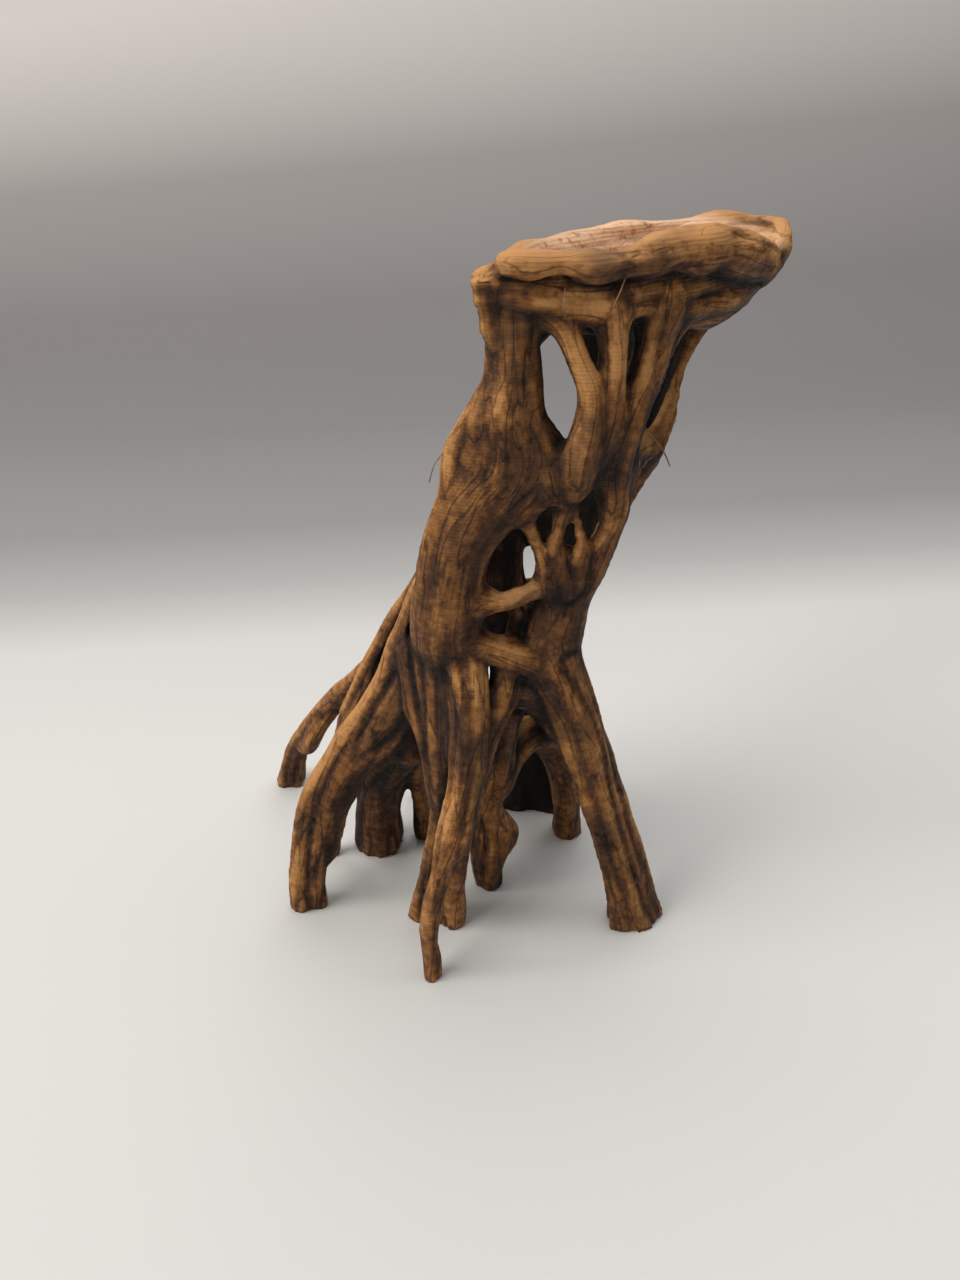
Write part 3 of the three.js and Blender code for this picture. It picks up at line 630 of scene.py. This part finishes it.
@dataclass
class RootSkin:
    """The whole root as one closed skin."""

    field: WoodField
    voxel: float = 0.53  # mesh size in mm
    fast_voxel: float = 0.85
    tube_sides: int = 12
    rays: int = 14  # directions looked in to tell how closed in a place is
    fast_rays: int = 8
    look: float = 16.0  # how far it looks, in mm
    settle_rounds: int = 3
    settle_step: float = 0.6  # the most that a round moves a point, in mm
    flute_width: float = 2.3  # between the grooves along a rootlet, in mm
    flute_length: float = 24.0
    flute_depth: float = 0.55
    cord_width: float = 1.0  # the fine cords between the grooves
    cord_length: float = 13.0
    cord_depth: float = 0.16
    streak_width: float = 1.5  # the streaks of stain
    streak_length: float = 16.0
    knot_size: float = 7.0
    knot_depth: float = 0.45
    ledge_height: float = 0.8  # the flaky ledges under the trough
    ledge_depth: float = 0.3
    sole: float = 0.0
    sole_band: float = 0.3  # the height over which the sole's edge stays as it is cut, in mm
    groove_at: float = 0.12
    groove_width: float = 0.2
    floor_band: float = 1.2  # how far the pale finish of the trough's floor reaches past it, in mm
    lip_stain_from: float = 37.5  # the right-hand end of the trough is stained like the lip
    low_window: float = 48.0  # the painted shade inside is lighter at this height, where the low window lets light in

    def fused(self) -> bpy.types.Object:
        """Fuse all tubes and the trough's hull into one closed skin.

        Returns:
            The skin, in mm.
        """
        whole = bmesh.new()
        for curve, _rootlet, _region in self.field.curves:
            part = curve.tube(self.tube_sides)
            self.cut_sole(part)
            merge(whole, part)
        merge(whole, self.oval(self.field.trough.hull))
        obj = as_object(whole, "fused")
        remesh_size = self.voxel
        remesh = obj.modifiers.new("fuse", "REMESH")
        remesh.mode, remesh.voxel_size = "VOXEL", remesh_size
        skin = self.frozen(obj)
        hollow = as_object(self.oval(self.field.trough.hollow), "hollow")
        cut = skin.modifiers.new("hollow", "BOOLEAN")
        cut.operation, cut.object, cut.solver = "DIFFERENCE", hollow, "EXACT"
        again = skin.modifiers.new("even", "REMESH")
        again.mode, again.voxel_size = "VOXEL", remesh_size
        skin = self.frozen(skin)
        bpy.data.objects.remove(hollow)
        return skin

    def cut_sole(self, part: bmesh.types.BMesh) -> None:
        """Cut off what lies below the resting plane and close the cut.

        Args:
            part: A closed bmesh in mm.
        """
        geometry = part.verts[:] + part.edges[:] + part.faces[:]
        bmesh.ops.bisect_plane(
            part, geom=geometry, plane_co=(0, 0, self.sole), plane_no=(0, 0, 1), clear_inner=True)
        bmesh.ops.holes_fill(part, edges=[e for e in part.edges if e.is_boundary])

    def oval(self, profile: Stations) -> bmesh.types.BMesh:
        """Spin one of the trough's profiles and draw it out to an oval.

        Args:
            profile: The outline as (share, height).

        Returns:
            The closed body, in mm.
        """
        trough = self.field.trough
        bm = bmesh.new()
        verts = [bm.verts.new((share, 0, z)) for share, z in profile]
        edges = [bm.edges.new(pair) for pair in zip(verts, verts[1:])]
        bmesh.ops.spin(
            bm, geom=verts + edges, cent=(0, 0, 0), axis=(0, 0, 1), angle=math.tau, steps=72, use_merge=True)
        bmesh.ops.remove_doubles(bm, verts=bm.verts[:], dist=1e-4)
        place = Matrix.Translation((trough.centre[0] - BOX_MIDDLE.x, trough.centre[1] - BOX_MIDDLE.y, 0))
        turn = Matrix.Rotation(trough.turn, 4, "Z")
        stretch = Matrix.Diagonal((trough.half_length, trough.half_width, 1, 1))
        bmesh.ops.transform(bm, matrix=place @ turn @ stretch, verts=bm.verts[:])
        bmesh.ops.recalc_face_normals(bm, faces=bm.faces[:])
        return bm

    @staticmethod
    def frozen(obj: bpy.types.Object) -> bpy.types.Object:
        """Apply an object's modifiers.

        Args:
            obj: The object, which is used up.

        Returns:
            A new object with the finished mesh.
        """
        bpy.context.view_layer.update()
        graph = bpy.context.evaluated_depsgraph_get()
        mesh = bpy.data.meshes.new_from_object(obj.evaluated_get(graph))
        name = obj.name
        bpy.data.objects.remove(obj)
        return shown(name, mesh)

    @staticmethod
    def noise_at(points: np.ndarray) -> np.ndarray:
        """Read smooth noise, from -1 to 1.

        Args:
            points: Where to read it, one a row.

        Returns:
            One number for each point.
        """
        return np.array([noise.noise(p, noise_basis="PERLIN_ORIGINAL") for p in points.tolist()])

    def settle(self, mesh: bpy.types.Mesh, points: np.ndarray) -> Found:
        """Move points onto the grown surface. The soles stay as they are cut.

        Args:
            mesh: The mesh that the points belong to.
            points: Points in mm, one a row, changed in place.

        Returns:
            The last sample of the field at the points.
        """
        for _ in range(self.settle_rounds):
            found = self.field.sample(points)
            step = np.clip(found["distance"], -self.settle_step, self.settle_step)
            step[(points[:, 2] < self.sole + self.sole_band) & (step < -0.35)] = 0
            points -= step[:, None] * found["slope"]
            points[:, 2] = np.maximum(points[:, 2], self.sole)
        even = self.evened(mesh, points, 2)
        low = points[:, 2] < self.sole + self.sole_band
        even[low, 2] = points[low, 2]
        points[:] = even
        return self.field.sample(points, self.along_grain)

    def along_grain(self, grain: np.ndarray) -> np.ndarray:
        """Read the flutes, cords and streaks that run along a rootlet.

        Args:
            grain: Grain coordinates in mm, one a row: two across and one along.

        Returns:
            Three values a row, from -1 to 1.
        """
        return np.stack((
            self.noise_at(grain / (self.flute_width, self.flute_width, self.flute_length)),
            self.noise_at(grain / (self.cord_width, self.cord_width, self.cord_length) + 40.0),
            self.noise_at(grain / (self.streak_width, self.streak_width, self.streak_length) + 80.0)), axis=1)

    def relief(self, points: np.ndarray, found: Found) -> tuple[np.ndarray, np.ndarray]:
        """Work out the grooves, cords, knots and ledges of the surface.

        Args:
            points: Points in mm, one a row.
            found: The field at the points.

        Returns:
            The height of the relief in mm, and the share of a groove that each point lies in.
        """
        flutes, cords = found["lift"][:, 0], found["lift"][:, 1]
        knots = self.noise_at(points / self.knot_size + 11.0)
        ledges = self.noise_at(points / (7.0, 7.0, self.ledge_height) + 5.0)
        groove = np.clip(1 - np.abs(flutes + self.groove_at) / self.groove_width, 0, 1) ** 1.5
        depth = found["flute"]
        height = depth * (self.flute_depth * (0.9 * flutes - 0.75 * groove) + self.cord_depth * cords)
        height += self.knot_depth * knots * (1 + 1.1 * found["dish"])
        height += self.ledge_depth * ledges * found["dish"]
        return height, groove * depth

    @staticmethod
    def evened(mesh: bpy.types.Mesh, values: np.ndarray, rounds: int) -> np.ndarray:
        """Average values over neighbouring vertices.

        Args:
            mesh: The mesh.
            values: One row of numbers a vertex.
            rounds: How many times to average.

        Returns:
            The averaged values.
        """
        edges = np.empty(len(mesh.edges) * 2, np.int64)
        mesh.edges.foreach_get("vertices", edges)
        a, b = edges.reshape(-1, 2).T
        count = len(values)
        valence = np.maximum(np.bincount(a, minlength=count) + np.bincount(b, minlength=count), 1)
        for _ in range(rounds):
            sums = [np.bincount(a, weights=column[b], minlength=count)
                    + np.bincount(b, weights=column[a], minlength=count) for column in values.T]
            values = np.stack(sums, axis=1) / valence[:, None]
        return values

    @staticmethod
    def shelter(
        mesh: bpy.types.Mesh, points: np.ndarray, normals: np.ndarray, rays: int, reach: float
    ) -> np.ndarray:
        """Measure how closed in each vertex is, which the material turns into painted shade, partly the brown
        wash.

        Args:
            mesh: The mesh, in mm.
            points: Its vertices in mm.
            normals: Its vertex normals.
            rays: How many directions to look in.
            reach: How far to look, in mm.

        Returns:
            A share for each vertex, 0 in the open.
        """
        faces = [tuple(p.vertices) for p in mesh.polygons]
        tree = BVHTree.FromPolygons(points.tolist(), faces)
        turn = math.pi * (3 - math.sqrt(5))
        ups = [(i + 0.5) / rays for i in range(rays)]
        fans = [(math.sqrt(1 - u) * math.cos(i * turn), math.sqrt(1 - u) * math.sin(i * turn), math.sqrt(u))
                for i, u in enumerate(ups)]
        side = np.cross(normals, np.where(np.abs(normals[:, :1]) > 0.7, (0, 1, 0), (1, 0, 0)))
        side /= np.linalg.norm(side, axis=1)[:, None]
        up = np.cross(normals, side)
        starts = [Vector(p) for p in (points + normals * 0.25).tolist()]
        closed = np.zeros(len(points))
        for x, y, z in fans:
            ways = (side * x + up * y + normals * z).tolist()
            hits = [tree.ray_cast(start, Vector(way), reach)[3] for start, way in zip(starts, ways)]
            closed += [0.0 if hit is None else 1 - hit / reach for hit in hits]
        return closed / rays

    def build(self) -> bpy.types.Object:
        """Make the finished skin.

        Returns:
            The root's object, in metres.
        """
        obj = self.fused()
        mesh = obj.data
        mesh.shade_smooth()
        points = np.empty(len(mesh.vertices) * 3)
        mesh.vertices.foreach_get("co", points)
        points = points.reshape(-1, 3)
        found = self.settle(mesh, points)
        self.write(mesh, points)
        normals = self.normals(mesh)
        found["lift"] = self.evened(mesh, found["lift"], 2)
        height, groove = self.relief(points, found)
        low = points[:, 2] < self.sole + 0.05
        ways = np.where(low[:, None], found["slope"] * (1, 1, 0), normals)
        points += ways * height[:, None]
        points[:, 2] = np.maximum(points[:, 2], self.sole)
        self.inside_box(points)
        self.write(mesh, points)
        normals = self.normals(mesh)
        bump = ((points - self.evened(mesh, points, 4)) * normals).sum(1)
        # how closed in each vertex is, which becomes painted shade in the material
        closed = self.shelter(mesh, points, normals, self.rays, self.look)
        bump, closed, groove = self.evened(mesh, np.stack((bump, closed, groove), axis=1), 1).T
        for name, values in self.finish(points, normals, found, groove, bump, closed).items():
            self.attribute(mesh, name, values)
        self.write(mesh, points * MM)
        obj.name = "root_skin"
        return obj

    def finish(self, points: np.ndarray, normals: np.ndarray, found: Found, groove: np.ndarray,
               bump: np.ndarray, closed: np.ndarray) -> Found:
        """Work out what the material reads at each vertex.

        Args:
            points: Vertices in mm.
            normals: Their normals.
            found: The field at the vertices.
            groove: Share of a groove.
            bump: How far each vertex stands out of its surroundings, in mm.
            closed: How closed in each vertex is.

        Returns:
            The values by name, each from about 0 to 1 except the grain coordinates.
        """
        dish = np.clip(1.4 - np.abs(found["hollow"]) / self.floor_band, 0, 1)
        dish *= np.clip((self.lip_stain_from - points[:, 0]) / 9, 0.3, 1)
        bare = 1 - 0.75 * dish
        # how much painted shade the inside takes: less near the low window, where light comes in
        shade_away_from_window = np.clip(np.abs(points[:, 2] - self.low_window) / 9, 0.25, 1.2)
        return {
            "grain": found["grain"],
            "crease": bare * np.clip(found["crease"] * 1.3, 0, 1),
            "groove": groove,
            "streak": found["lift"][:, 2],
            "bump": np.clip(0.5 + bump * 2.2, 0, 1),
            # painted light on faces that look up, painted shade on faces that look down
            "rubbed": np.clip(0.28 + 0.8 * normals[:, 2], 0, 1),
            # painted shade in enclosed places, partly the brown wash; the trough's floor takes less of it
            "closed": closed * bare,
            # painted shade on the inner faces of the back wall that look to the front
            "inside": shade_away_from_window * found["inside"] * np.clip(0.35 - 1.3 * normals[:, 1], 0, 1),
            "dish": dish,
        }

    @staticmethod
    def write(mesh: bpy.types.Mesh, points: np.ndarray) -> None:
        """Put vertices where the points are.

        Args:
            mesh: The mesh.
            points: One point a vertex.
        """
        mesh.vertices.foreach_set("co", points.astype(np.float32).ravel())
        mesh.update()

    @staticmethod
    def normals(mesh: bpy.types.Mesh) -> np.ndarray:
        """Read the vertex normals.

        Args:
            mesh: The mesh.

        Returns:
            One unit normal a vertex.
        """
        values = np.empty(len(mesh.vertices) * 3, np.float32)
        mesh.vertex_normals.foreach_get("vector", values)
        return values.reshape(-1, 3).astype(float)

    @staticmethod
    def attribute(mesh: bpy.types.Mesh, name: str, values: np.ndarray) -> None:
        """Store a number or a vector a vertex for the material.

        Args:
            mesh: The mesh.
            name: The attribute's name.
            values: The values.
        """
        kind, key = ("FLOAT", "value") if values.ndim == 1 else ("FLOAT_VECTOR", "vector")
        mesh.attributes.new(name, kind, "POINT").data.foreach_set(key, values.astype(np.float32).ravel())

    @staticmethod
    def inside_box(points: np.ndarray) -> None:
        """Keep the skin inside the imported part's box.

        Args:
            points: Points in mm, one a row, changed in place.
        """
        low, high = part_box(NODE)
        np.clip(points, np.array(low) / MM + (0.02, 0.02, 0.0), np.array(high) / MM - 0.02, out=points)


@dataclass
class StrayHairs:
    """Thin stray hairs that bridge or stand off the root, as fine dry fibres do."""

    thickness: float = 0.09
    lines: tuple[Stations, ...] = (
        ((19.6, -10.6, 76.4), (20.6, -11.2, 76.0), (21.8, -12, 74.6), (22.7, -12.4, 72.8)),
        ((-5.2, -20.6, 77.6), (-6.4, -21.4, 76.2), (-7.0, -21.8, 74.2)),
        ((14.7, -22.8, 98.2), (13.9, -24.0, 96.4), (13.1, -23.2, 94.4)),
        ((8.0, -25.0, 97.2), (7.9, -25.5, 96.0), (7.8, -24.8, 94.6)),
    )

    def build(self) -> bpy.types.Object:
        """Make all hairs as one piece.

        Returns:
            The hairs, in metres.
        """
        whole = bmesh.new()
        for line in self.lines:
            hair = Rootlet(tuple((*point, self.thickness) for point in line))
            merge(whole, Curve(hair, 0.7).tube(6))
        bmesh.ops.scale(whole, vec=(MM, MM, MM), verts=whole.verts[:])
        obj = as_object(whole, "stray_hairs")
        obj.data.shade_smooth()
        return obj


def linear(value: str) -> tuple[float, float, float, float]:
    """Turn an sRGB hex colour into linear numbers.

    Args:
        value: The colour, such as "#a06c40".

    Returns:
        Red, green, blue and alpha.
    """
    parts = [int(value[i:i + 2], 16) / 255 for i in (1, 3, 5)]
    return (*[c / 12.92 if c <= 0.04045 else ((c + 0.055) / 1.055) ** 2.4 for c in parts], 1.0)


def node(
    tree: bpy.types.NodeTree, kind: str, settings: dict | None = None, links: dict | None = None
) -> bpy.types.Node:
    """Add a shader node.

    Args:
        tree: The material's node tree.
        kind: Blender's name of the node type.
        settings: Property or input values by name; an input may be given by its number. "stops" holds
            the positions and hex colours of a colour ramp.
        links: Output sockets by the name or number of the input that they feed.

    Returns:
        The new node.
    """
    made = tree.nodes.new(kind)
    for key, value in (settings or {}).items():
        if key == "stops":
            elements = made.color_ramp.elements
            while len(elements) < len(value):
                elements.new(1.0)
            for element, (position, colour) in zip(elements, value):
                element.position, element.color = position, linear(colour)
        elif isinstance(key, str) and hasattr(made, key):
            setattr(made, key, value)
        else:
            made.inputs[key].default_value = value
    for key, socket in (links or {}).items():
        tree.links.new(socket, made.inputs[key])
    return made


def blank_material(name: str) -> tuple[bpy.types.Material, bpy.types.NodeTree, bpy.types.NodeSocket]:
    """Make an empty material.

    Args:
        name: The material's name.

    Returns:
        The material, its node tree, and the socket of the place on the piece in metres.
    """
    made = bpy.data.materials.new(name)
    made.use_nodes = True
    made.node_tree.nodes.clear()
    return made, made.node_tree, node(made.node_tree, "ShaderNodeTexCoord").outputs["Object"]


@dataclass(frozen=True)
class StainedRoot:
    """Pale printed root stained brown by hand.

    A matt, slightly waxy surface. A thin brown wash darkens the creases and is worn off the ridges, where the
    tan shows. Painted shade, partly the wash, darkens the enclosed hollows; painted shade darkens the inside
    of the back wall; painted light brightens the faces that look up and painted shade darkens those that look
    down. Fine cords and cracks run along each rootlet, and faint level lines run round it. The floor of the
    trough has taken little stain and is pale and grainy.
    """

    tan: str = "#ac7b49"
    ochre: str = "#7d5229"
    brown: str = "#4d301b"
    umber: str = "#2a190f"
    # the darkest stop, reached where the brown wash and the painted shade add up
    wash_and_shade_black: str = "#0d0704"
    plum: str = "#4a362b"
    blush: str = "#dcb694"
    roughness: float = 0.62
    cord: float = 0.5  # mm between fine cords
    cord_run: float = 7.0
    crack: float = 2.2  # mm between long cracks
    crack_run: float = 16.0
    patch: float = 9.0  # mm across a patch of stain
    grit: float = 1.1
    level_line: float = 0.45  # mm; the real lines are about half as far apart, too fine to show
    # How far each cause moves the colour along the ramp: the brown wash, and painted shade and light where
    # marked. Its name, two of its values, and the amount at each.
    stain: tuple[Cause, ...] = (
        # painted shade in enclosed places, partly the brown wash
        ("closed", 0.1, 0.6, 0.0, 0.7),
        ("crease", 0.25, 0.9, 0.0, 0.3),
        ("groove", 0.0, 1.0, 0.0, 0.2),
        ("bump", 0.25, 0.8, 0.24, -0.24),
        ("streak", -0.45, 0.45, -0.09, 0.1),
        # painted shade on the inner faces of the back wall
        ("inside", 0.0, 1.0, 0.0, 0.5),
        # painted light on faces that look up, painted shade on faces that look down
        ("rubbed", 0.0, 1.0, 0.53, 0.02),
        ("height", 0.079, 0.094, 0.0, -0.16),
        ("patches", 0.3, 0.7, -0.1, 0.16),
        ("cords", 0.3, 0.7, -0.09, 0.09),
        ("grit", 0.3, 0.7, -0.13, 0.15),
        ("levels", 0.0, 1.0, 0.0, 0.05),
        ("cracks", 0.0, 0.03, 0.24, 0.0))
    # How high each cause raises the surface, as a share of the bump's depth.
    raised: tuple[Cause, ...] = (
        ("cords", 0.0, 1.0, 0.0, 0.6),
        ("grit", 0.0, 1.0, 0.0, 0.45),
        ("specks", 0.3, 0.8, 0.0, -0.9),
        ("levels", 0.0, 1.0, 0.0, 0.35),
        ("cracks", 0.0, 0.03, -0.35, 0.0))
    # Colours laid over the stain: how each is laid, its cause, two values of it, the most it covers.
    plum_over: Overlay = ("DARKEN", "patches", 0.5, 0.7, 0.6)
    blush_over: Overlay = ("MIX", "dish", 0.0, 1.0, 0.85)
    specks_over: Overlay = ("MIX", "specks", 0.53, 0.66, 0.75)

    def causes(
        self, tree: bpy.types.NodeTree, place: bpy.types.NodeSocket
    ) -> dict[str, bpy.types.NodeSocket]:
        """Read or draw every pattern that the stain and the bump follow.

        Args:
            tree: The material's node tree.
            place: The place on the piece in metres.

        Returns:
            The value of each cause, by name.
        """
        read = {name: node(tree, "ShaderNodeAttribute", {"attribute_name": name}) for name in
                ("grain", "crease", "groove", "streak", "bump", "rubbed", "closed", "inside", "dish")}
        value = {name: item.outputs["Fac"] for name, item in read.items()}
        value["height"] = node(tree, "ShaderNodeSeparateXYZ", {}, {0: place}).outputs["Z"]
        for name, size, detail in (("patches", self.patch, 3.0), ("grit", self.grit, 4.0)):
            made_of = {"Scale": 1 / (size * MM), "Detail": detail, "Roughness": 0.63}
            value[name] = node(tree, "ShaderNodeTexNoise", made_of, {"Vector": place}).outputs["Fac"]
        for name, across, run, detail in (("cords", self.cord, self.cord_run, 3.0),
                                          ("cracks", self.crack, self.crack_run, 1.5)):
            along = node(tree, "ShaderNodeMapping", {"Scale": (1 / across, 1 / across, 1 / run)},
                         {"Vector": read["grain"].outputs["Vector"]}).outputs["Vector"]
            value[name] = node(tree, "ShaderNodeTexNoise", {
                "Scale": 1.0, "Detail": detail, "Roughness": 0.55}, {"Vector": along}).outputs["Fac"]
        apart = node(tree, "ShaderNodeMath", {"operation": "SUBTRACT", 1: 0.5}, {0: value["cracks"]})
        away = node(tree, "ShaderNodeMath", {"operation": "ABSOLUTE"}, {0: apart.outputs[0]})
        value["cracks"] = away.outputs[0]
        lines = node(tree, "ShaderNodeTexWave", {
            "wave_type": "BANDS", "bands_direction": "Z", "wave_profile": "SIN",
            "Scale": 0.314 / (self.level_line * MM), "Distortion": 1.6, "Detail": 2.0, "Detail Scale": 0.12,
            "Detail Roughness": 0.5}, {"Vector": place})
        value["levels"] = node(tree, "ShaderNodeMath", {"operation": "MULTIPLY"},
                               {0: lines.outputs["Fac"], 1: value["grit"]}).outputs[0]
        value["specks"] = node(tree, "ShaderNodeMath", {"operation": "MULTIPLY"},
                               {0: value["dish"], 1: value["grit"]}).outputs[0]
        return value

    def material(self) -> bpy.types.Material:
        """Build the material.

        Returns:
            The material.
        """
        made, tree, place = blank_material("stained_root")
        value = self.causes(tree, place)
        # The ramp carries the brown wash together with painted shade and painted light.
        stain = node(tree, "ShaderNodeValToRGB", {"stops": (
            (0.0, self.tan), (0.26, self.ochre), (0.5, self.brown), (0.76, self.umber), (1.0, self.wash_and_shade_black))},
            {"Fac": self.sum_of(tree, value, self.stain)}).outputs["Color"]
        for colour, (blend, name, low, high, most) in (
                (self.plum, self.plum_over), (self.blush, self.blush_over), (self.ochre, self.specks_over)):
            share = self.sum_of(tree, value, ((name, low, high, 0.0, most),))
            stain = node(tree, "ShaderNodeMix", {"data_type": "RGBA", "blend_type": blend, 7: linear(colour)},
                         {0: share, 6: stain}).outputs[2]
        bump = node(tree, "ShaderNodeBump", {"Strength": 0.7, "Distance": 0.22 * MM},
                    {"Height": self.sum_of(tree, value, self.raised)}).outputs["Normal"]
        rough = self.sum_of(tree, value, (("grit", 0.3, 0.7, self.roughness - 0.08, self.roughness + 0.12),))
        shader = node(tree, "ShaderNodeBsdfPrincipled", {"IOR": 1.47, "Specular IOR Level": 0.22},
                      {"Base Color": stain, "Roughness": rough, "Normal": bump})
        node(tree, "ShaderNodeOutputMaterial", {}, {"Surface": shader.outputs[0]})
        return made

    @staticmethod
    def sum_of(tree: bpy.types.NodeTree, value: dict, causes: tuple[Cause, ...]) -> bpy.types.NodeSocket:
        """Add up what each cause gives.

        Args:
            tree: The material's node tree.
            value: The value of each cause, by name.
            causes: Each cause's name, two of its values, and what it gives at each.

        Returns:
            The sum.
        """
        total = None
        for name, low, high, at_low, at_high in causes:
            ends = {"From Min": low, "From Max": high, "To Min": at_low, "To Max": at_high}
            part = node(tree, "ShaderNodeMapRange", ends, {"Value": value[name]}).outputs["Result"]
            if total is not None:
                part = node(tree, "ShaderNodeMath", {"operation": "ADD"}, {0: total, 1: part}).outputs[0]
            total = part
        return total


@dataclass(frozen=True)
class DryFibre:
    """A dry plant fibre: thin, straw-coloured and a little shiny."""

    colour: str = "#8f6a48"
    shade: str = "#6d4c31"
    roughness: float = 0.45

    def material(self) -> bpy.types.Material:
        """Build the material.

        Returns:
            The material.
        """
        made, tree, place = blank_material("dry_fibre")
        tone = node(tree, "ShaderNodeTexNoise", {"Scale": 600.0, "Detail": 2.0}, {"Vector": place})
        colour = node(tree, "ShaderNodeValToRGB", {"stops": ((0.3, self.shade), (0.7, self.colour))},
                      {"Fac": tone.outputs["Fac"]}).outputs["Color"]
        shader = node(tree, "ShaderNodeBsdfPrincipled", {"Roughness": self.roughness}, {"Base Color": colour})
        node(tree, "ShaderNodeOutputMaterial", {}, {"Surface": shader.outputs[0]})
        return made


@dataclass(frozen=True)
class Studio:
    """The floor, the backdrop, the lights and the camera."""

    camera_place: tuple[float, float, float] = (-1.17, -155.14, 124.0)
    camera_down: float = 28.0
    lens: float = 33.75
    floor_half_width: float = 1.2  # this and the next four in metres
    floor_front: float = -0.9
    floor_back: float = 0.3
    bend_radius: float = 0.16
    wall_height: float = 0.6
    bend_from: float = 0.62  # shares of the sheet's length
    bend_to: float = 0.84
    # Painted shade on the paper: pale on the floor, darker through the bend and low on the wall, lighter
    # higher up; positions are distances along (-0.14, 1, 1) in metres.
    paper_shade_tones: tuple[tuple[float, str], ...] = (
        (0.04, "#c4c3bf"), (0.085, "#bfbdba"), (0.115, "#9e9d9b"), (0.15, "#878685"), (0.236, "#7b7979"),
        (0.38, "#797675"), (0.49, "#8d8986"), (0.6, "#c9c4bf"))

    def floor(self) -> bpy.types.Object:
        """Sweep a floor that curves up into a backdrop.

        Returns:
            The floor.
        """
        bm = bmesh.new()
        bmesh.ops.create_grid(bm, x_segments=1, y_segments=48, size=1.0)
        for vert in bm.verts:
            t = (vert.co.y + 1) / 2
            y, z = self.floor_front + (self.floor_back - self.floor_front) * min(t / self.bend_from, 1), 0.0
            if t > self.bend_from:
                bend = min((t - self.bend_from) / (self.bend_to - self.bend_from), 1) * math.pi / 2
                rise = max(0, t - self.bend_to) / (1 - self.bend_to) * self.wall_height
                y = self.floor_back + self.bend_radius * math.sin(bend)
                z = self.bend_radius * (1 - math.cos(bend)) + rise
            vert.co = Vector((vert.co.x * self.floor_half_width, y, z))
        obj = as_object(bm, "floor")
        obj.data.shade_smooth()
        obj.data.materials.append(self.paper())
        return obj

    def paper(self) -> bpy.types.Material:
        """Make the matt paper of the floor and backdrop, with painted shade that darkens it through the bend
        and lightens it again higher up the wall.

        Returns:
            The material.
        """
        made, tree, place = blank_material("matt_paper")
        way = {"operation": "DOT_PRODUCT", 1: (-0.14, 1.0, 1.0)}
        far = node(tree, "ShaderNodeVectorMath", way, {0: place})
        tone = node(tree, "ShaderNodeValToRGB", {"stops": self.paper_shade_tones}, {"Fac": far.outputs["Value"]})
        shader = node(tree, "ShaderNodeBsdfPrincipled", {"Roughness": 0.9, "Specular IOR Level": 0.2},
                      {"Base Color": tone.outputs["Color"]})
        node(tree, "ShaderNodeOutputMaterial", {}, {"Surface": shader.outputs[0]})
        return made

    def light(
        self, name: str, place: tuple[float, float, float], size: float, power: float, colour: str
    ) -> None:
        """Add a soft lamp that faces the middle of the root.

        Args:
            name: The lamp's name.
            place: Where it hangs, in metres.
            size: The side of its panel in metres.
            power: Its power in watts.
            colour: Its colour.
        """
        data = bpy.data.lights.new(name, "AREA")
        data.shape, data.size, data.energy, data.color = "SQUARE", size, power, linear(colour)[:3]
        lamp = shown(name, data)
        lamp.location = place
        lamp.rotation_euler = (Vector((0, 0, 0.045)) - Vector(place)).to_track_quat("-Z", "Y").to_euler()

    def build(self) -> None:
        """Set up the whole studio."""
        self.floor()
        self.light("key", (-0.76, -0.42, 0.76), 0.80, 13.0, "#fffcf8")
        self.light("top", (0.10, 0.06, 0.70), 0.60, 3.6, "#fbfbfd")
        self.light("front", (0.05, -0.60, 0.40), 0.36, 0.3, "#f8f8fa")
        world = bpy.data.worlds.new("room")
        world.use_nodes = True
        world.node_tree.nodes["Background"].inputs["Color"].default_value = linear("#dfe0e2")
        world.node_tree.nodes["Background"].inputs["Strength"].default_value = 0.2
        bpy.context.scene.world = world
        data = bpy.data.cameras.new("camera")
        data.lens, data.sensor_width, data.clip_start = self.lens, 36.0, 0.005
        camera = shown("camera", data)
        camera.location = Vector(self.camera_place) * MM
        camera.rotation_euler = (math.radians(90 - self.camera_down), 0, 0)
        bpy.context.scene.camera = camera
        bpy.context.scene.view_settings.view_transform = "Standard"


def place_piece(obj: bpy.types.Object, material: bpy.types.Material) -> bpy.types.Object:
    """Dress a piece and fix it to the root's body.

    Args:
        obj: The piece, already in its place.
        material: Its finish.

    Returns:
        The same piece.
    """
    obj.data.materials.clear()
    obj.data.materials.append(material)
    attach(obj, BODY)
    log.info("piece %s: %d vertices, %d faces", obj.name, len(obj.data.vertices), len(obj.data.polygons))
    return obj


def main() -> None:
    """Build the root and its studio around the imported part."""
    logging.basicConfig(level=logging.INFO, format="%(name)s: %(message)s")
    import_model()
    trough = Trough()
    groups = [trough, TrunkFront(), TrunkBack(), FeetFront(), FeetLeft(), FeetBack()]
    skin = place_piece(RootSkin(WoodField(groups, trough)).build(), StainedRoot().material())
    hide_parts(NODE)
    place_piece(StrayHairs().build(), DryFibre().material())
    Studio().build()


if __name__ == "__main__":
    main()
